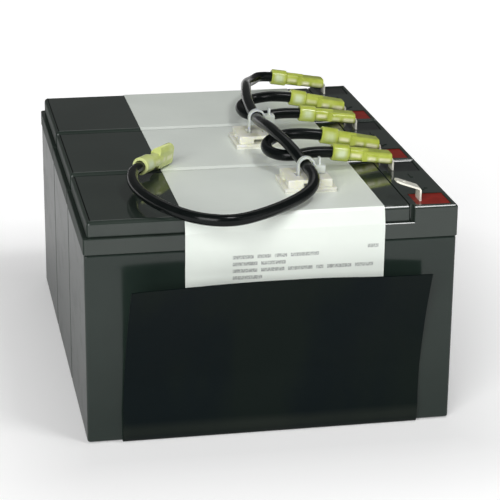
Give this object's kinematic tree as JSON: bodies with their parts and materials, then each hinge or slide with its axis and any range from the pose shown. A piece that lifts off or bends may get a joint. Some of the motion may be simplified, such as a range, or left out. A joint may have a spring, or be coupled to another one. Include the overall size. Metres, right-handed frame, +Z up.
{
  "type": "ups battery cartridge",
  "caption": "Battery cartridge for an uninterruptible power supply: sealed lead-acid batteries side by side, joined in series by insulated leads, with a wrap label and a black pull sheet.",
  "frame": {"origin": "centre of the pack's footprint on the support surface, at the underside of the pull sheet", "axes": "+X along each battery towards its terminals, +Y from the front battery to the rear one, +Z up"},
  "size_m": [0.1516, 0.2131, 0.1108],
  "materials": {
    "case_abs": "moulded, glossy dark grey",
    "valve_rubber": "matte",
    "plate_stack": "glass mat and lead plates",
    "lead_metal": "cast lead",
    "tinned_brass": "tin plated, bright",
    "red_resin": "smooth",
    "dark_resin": "smooth",
    "foam_tape": "foam",
    "label_film": "satin film",
    "black_sheet": "satin",
    "yellow_nylon": "translucent",
    "wire_pvc": "glossy PVC",
    "natural_nylon": "translucent, natural",
    "white_nylon": "translucent, white"
  },
  "bodies": {
    "root": {"front_battery_container": "case_abs", "front_battery_lid": "case_abs", "front_cable_tie": "white_nylon", "front_cell_stacks": "plate_stack", "front_cell_straps": "lead_metal", "front_jumper_wire": "wire_pvc", "front_mount_pad": "foam_tape", "front_negative_connector_sleeve": "yellow_nylon", "front_negative_receptacle": "tinned_brass", "front_negative_seal": "dark_resin", "front_negative_terminal": "tinned_brass", "front_positive_seal": "red_resin", "front_positive_terminal": "tinned_brass", "front_tie_mount": "natural_nylon", "front_valve_caps": "valve_rubber", "front_vent_cover": "case_abs", "joining_tape_front": "foam_tape", "joining_tape_rear": "foam_tape", "middle_battery_container": "case_abs", "middle_battery_lid": "case_abs", "middle_cell_stacks": "plate_stack", "middle_cell_straps": "lead_metal", "middle_negative_connector_sleeve": "yellow_nylon", "middle_negative_receptacle": "tinned_brass", "middle_negative_seal": "dark_resin", "middle_negative_terminal": "tinned_brass", "middle_positive_connector_sleeve": "yellow_nylon", "middle_positive_receptacle": "tinned_brass", "middle_positive_seal": "red_resin", "middle_positive_terminal": "tinned_brass", "middle_valve_caps": "valve_rubber", "middle_vent_cover": "case_abs", "output_lead_connector_sleeve": "yellow_nylon", "output_lead_receptacle": "tinned_brass", "output_lead_wire": "wire_pvc", "pull_sheet": "black_sheet", "rear_battery_container": "case_abs", "rear_battery_lid": "case_abs", "rear_cable_tie": "white_nylon", "rear_cell_stacks": "plate_stack", "rear_cell_straps": "lead_metal", "rear_jumper_wire": "wire_pvc", "rear_mount_pad": "foam_tape", "rear_negative_connector_sleeve": "yellow_nylon", "rear_negative_receptacle": "tinned_brass", "rear_negative_seal": "dark_resin", "rear_negative_terminal": "tinned_brass", "rear_positive_connector_sleeve": "yellow_nylon", "rear_positive_receptacle": "tinned_brass", "rear_positive_seal": "red_resin", "rear_positive_terminal": "tinned_brass", "rear_tie_mount": "natural_nylon", "rear_valve_caps": "valve_rubber", "rear_vent_cover": "case_abs", "wrap_label": "label_film"}
  },
  "joints": []
}
